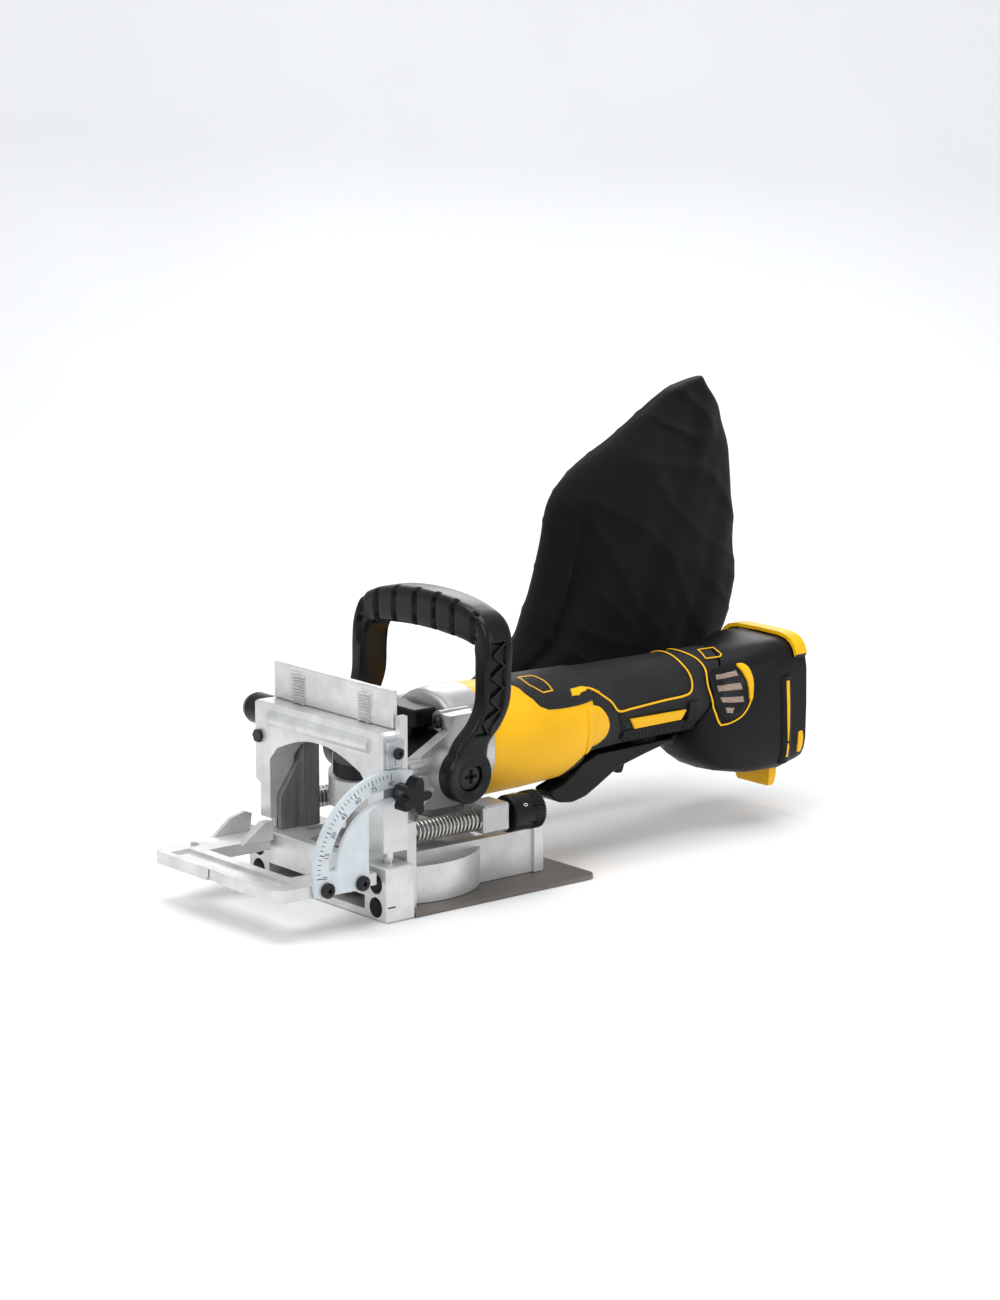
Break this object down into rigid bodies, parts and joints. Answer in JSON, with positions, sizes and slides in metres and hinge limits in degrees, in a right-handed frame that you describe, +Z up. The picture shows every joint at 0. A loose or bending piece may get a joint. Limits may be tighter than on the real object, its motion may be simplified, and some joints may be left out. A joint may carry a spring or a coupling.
{
  "type": "biscuit joiner",
  "caption": "Cordless plate joiner with a sprung plunge base, tilting and height-adjustable fence, front handle, paddle switch and dust bag.",
  "frame": {"origin": "on the underside of the base, on the blade slot's middle plane, below the blade's axis at rest", "axes": "+Z up; the blade plunges towards -Y; +Y runs back along the motor and grip; +X is the operator's left"},
  "size_m": [0.199, 0.5135, 0.296],
  "materials": {
    "cast_aluminium": "satin die casting",
    "steel": "ground and polished",
    "dark_steel": "dark brown oxide",
    "black_metal": "black oxide screws",
    "scale_white": "pale scale plate with black ticks",
    "clear_plastic": "clear",
    "yellow_plastic": "satin moulding",
    "black_plastic": "moulded black",
    "overmould": "matte charcoal soft-touch",
    "rubber": "black rubber",
    "bag_fabric": "brushed black cloth",
    "stator_windings": "laminations with copper windings"
  },
  "bodies": {
    "base": {"base_casting": "cast_aluminium", "base_cover_plate": "dark_steel", "height_rack": "dark_steel", "guide_post_left": "steel", "guide_post_right": "steel", "plunge_rod_left": "steel", "plunge_rod_right": "steel", "plunge_spring_left": "steel", "plunge_spring_right": "steel", "face_pad_left_lower": "rubber", "face_pad_left_upper": "rubber", "face_pad_right_lower": "rubber", "face_pad_right_upper": "rubber", "dust_elbow": "black_plastic", "dust_bag": "bag_fabric"},
    "carriage": {"height_carriage": "cast_aluminium", "upper_face_plate": "cast_aluminium", "angle_cursor": "clear_plastic", "cursor_screw": "black_metal", "carriage_hex_bolt": "black_metal"},
    "height_pinion": {"height_pinion_shaft": "steel", "height_knob": "black_plastic"},
    "fence": {"fence_plate": "cast_aluminium", "fence_wing_right": "cast_aluminium", "angle_scale_plate": "scale_white", "scale_screw_front": "black_metal", "scale_screw_rear": "black_metal"},
    "tilt_knob": {"tilt_lock_knob": "black_plastic"},
    "arbor": {"bevel_gear": "dark_steel", "spindle": "steel", "blade": "steel", "blade_flange": "dark_steel"},
    "rotor": {"rotor": "dark_steel", "cooling_fan": "black_plastic"},
    "depth_turret": {"depth_turret": "black_plastic"},
    "spindle_lock": {"spindle_lock_button": "black_plastic"},
    "paddle": {"paddle_switch": "black_plastic"},
    "lock_off": {"lock_off_lever": "black_plastic"},
    "motor_unit": {"gear_housing": "cast_aluminium", "plunge_yoke": "cast_aluminium", "nose_cover": "black_plastic", "nose_screw_left": "black_metal", "nose_screw_right": "black_metal", "front_handle": "black_plastic", "handle_screw_left": "black_metal", "handle_screw_right": "black_metal", "spindle_bearing": "steel", "motor_bearing_front": "steel", "motor_bearing_rear": "steel", "stator": "stator_windings", "motor_end_bracket": "black_plastic", "motor_housing": "yellow_plastic", "grip_shell_left": "overmould", "grip_shell_right": "overmould", "battery_foot": "overmould", "battery_rail_plate": "black_plastic", "battery_terminal_block": "yellow_plastic", "foot_top_trim": "yellow_plastic", "switch_module": "black_plastic"}
  },
  "joints": [
    {"name": "plunge_slide", "type": "slide", "parent": "base", "child": "motor_unit", "axis": [0, -1, 0], "range_m": [0, 0.02], "stiffness_N_per_m": 1200, "springref_m": -0.012, "deforming": ["plunge_spring_left", "plunge_spring_right"]},
    {"name": "height_slide", "type": "slide", "parent": "base", "child": "carriage", "axis": [0, 0, 1], "range_m": [-0.004, 0.024]},
    {"name": "height_pinion_turn", "type": "hinge", "parent": "carriage", "child": "height_pinion", "pos_m": [-0.06, -0.0369, 0.111], "axis": [-1, 0, 0], "range_deg": [-41, 232]},
    {"name": "fence_tilt", "type": "hinge", "parent": "carriage", "child": "fence", "pos_m": [0, -0.048, 0.0375], "axis": [-1, 0, 0], "range_deg": [0, 90]},
    {"name": "tilt_knob_turn", "type": "hinge", "parent": "carriage", "child": "tilt_knob", "pos_m": [0.08, -0.041, 0.0834], "axis": [1, 0, 0], "continuous": true},
    {"name": "blade_spin", "type": "hinge", "parent": "motor_unit", "child": "arbor", "pos_m": [0, 0, 0.01], "axis": [0, 0, 1], "continuous": true},
    {"name": "rotor_spin", "type": "hinge", "parent": "motor_unit", "child": "rotor", "pos_m": [0, 0.1, 0.089], "axis": [0, 1, 0], "continuous": true},
    {"name": "turret_turn", "type": "hinge", "parent": "motor_unit", "child": "depth_turret", "pos_m": [0.058, 0.07, 0.051], "axis": [0, 1, 0], "continuous": true},
    {"name": "spindle_lock_press", "type": "slide", "parent": "motor_unit", "child": "spindle_lock", "axis": [0, 0, -1], "range_m": [0, 0.004], "stiffness_N_per_m": 500, "springref_m": -0.003},
    {"name": "paddle_press", "type": "hinge", "parent": "motor_unit", "child": "paddle", "pos_m": [0, 0.252, 0.0644], "axis": [-1, 0, 0], "range_deg": [0, 3.5], "stiffness_Nm_per_rad": 2, "springref_deg": -3.44},
    {"name": "lock_off_swing", "type": "hinge", "parent": "paddle", "child": "lock_off", "pos_m": [0, 0.2055, 0.0635], "axis": [1, 0, 0], "range_deg": [0, 18], "stiffness_Nm_per_rad": 0.05, "springref_deg": -11.46}
  ],
  "couplings": [
    {"joint": "height_pinion_turn", "follows": "height_slide", "rad_per_m": 166.67},
    {"joint": "rotor_spin", "follows": "blade_spin", "ratio": 3}
  ]
}
